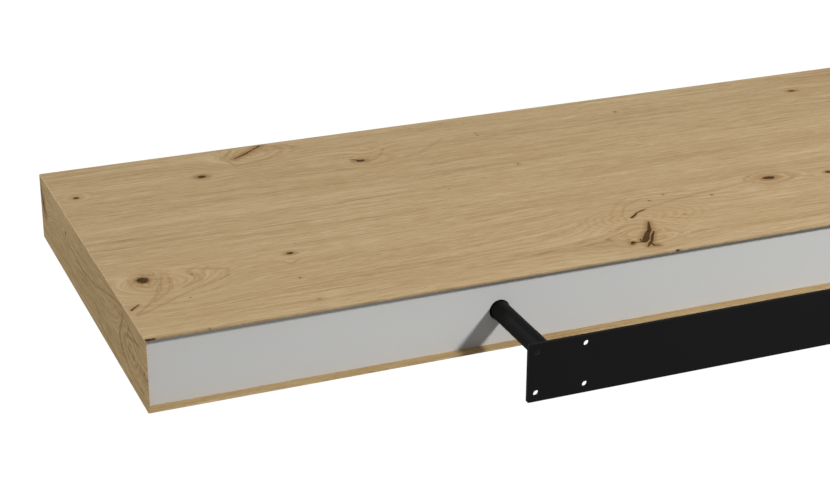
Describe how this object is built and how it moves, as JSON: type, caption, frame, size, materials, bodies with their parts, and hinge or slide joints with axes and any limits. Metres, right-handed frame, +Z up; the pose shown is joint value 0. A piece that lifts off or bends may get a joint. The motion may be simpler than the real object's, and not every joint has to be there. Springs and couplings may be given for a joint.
{
  "type": "wall shelf",
  "caption": "Thick oak-look wall shelf board that slides onto round rods of a flat black steel bracket hidden in its back.",
  "frame": {"origin": "middle of the bracket plate's wall face, level with the rods", "axes": "+X along the shelf, +Y into the wall, +Z up"},
  "size_m": [0.8, 0.32, 0.042],
  "materials": {
    "oak_laminate": "matt knotty oak pattern",
    "back_panel": "matt light grey",
    "hardboard": "bare hardboard",
    "frame_wood": "bare particle board",
    "paper_core": "paper",
    "black_steel": "matt black powder coat"
  },
  "bodies": {
    "bracket": {"bracket_plate": "black_steel", "rod_left": "black_steel", "rod_right": "black_steel", "weld_left": "black_steel", "weld_right": "black_steel"},
    "shelf": {"top_skin": "oak_laminate", "bottom_skin": "oak_laminate", "front_skin": "oak_laminate", "end_skin_left": "oak_laminate", "end_skin_right": "oak_laminate", "back_panel": "back_panel", "top_board": "hardboard", "bottom_board": "hardboard", "front_rail": "frame_wood", "back_rail_left": "frame_wood", "back_rail_middle": "frame_wood", "back_rail_right": "frame_wood", "end_rail_left": "frame_wood", "end_rail_right": "frame_wood", "rod_block_left": "frame_wood", "rod_block_right": "frame_wood", "middle_rib": "frame_wood", "core_left": "paper_core", "core_middle_left": "paper_core", "core_middle_right": "paper_core", "core_right": "paper_core"}
  },
  "joints": [
    {"name": "shelf_slide", "type": "slide", "parent": "bracket", "child": "shelf", "axis": [0, 1, 0], "range_m": [-0.084, 0.07]}
  ]
}
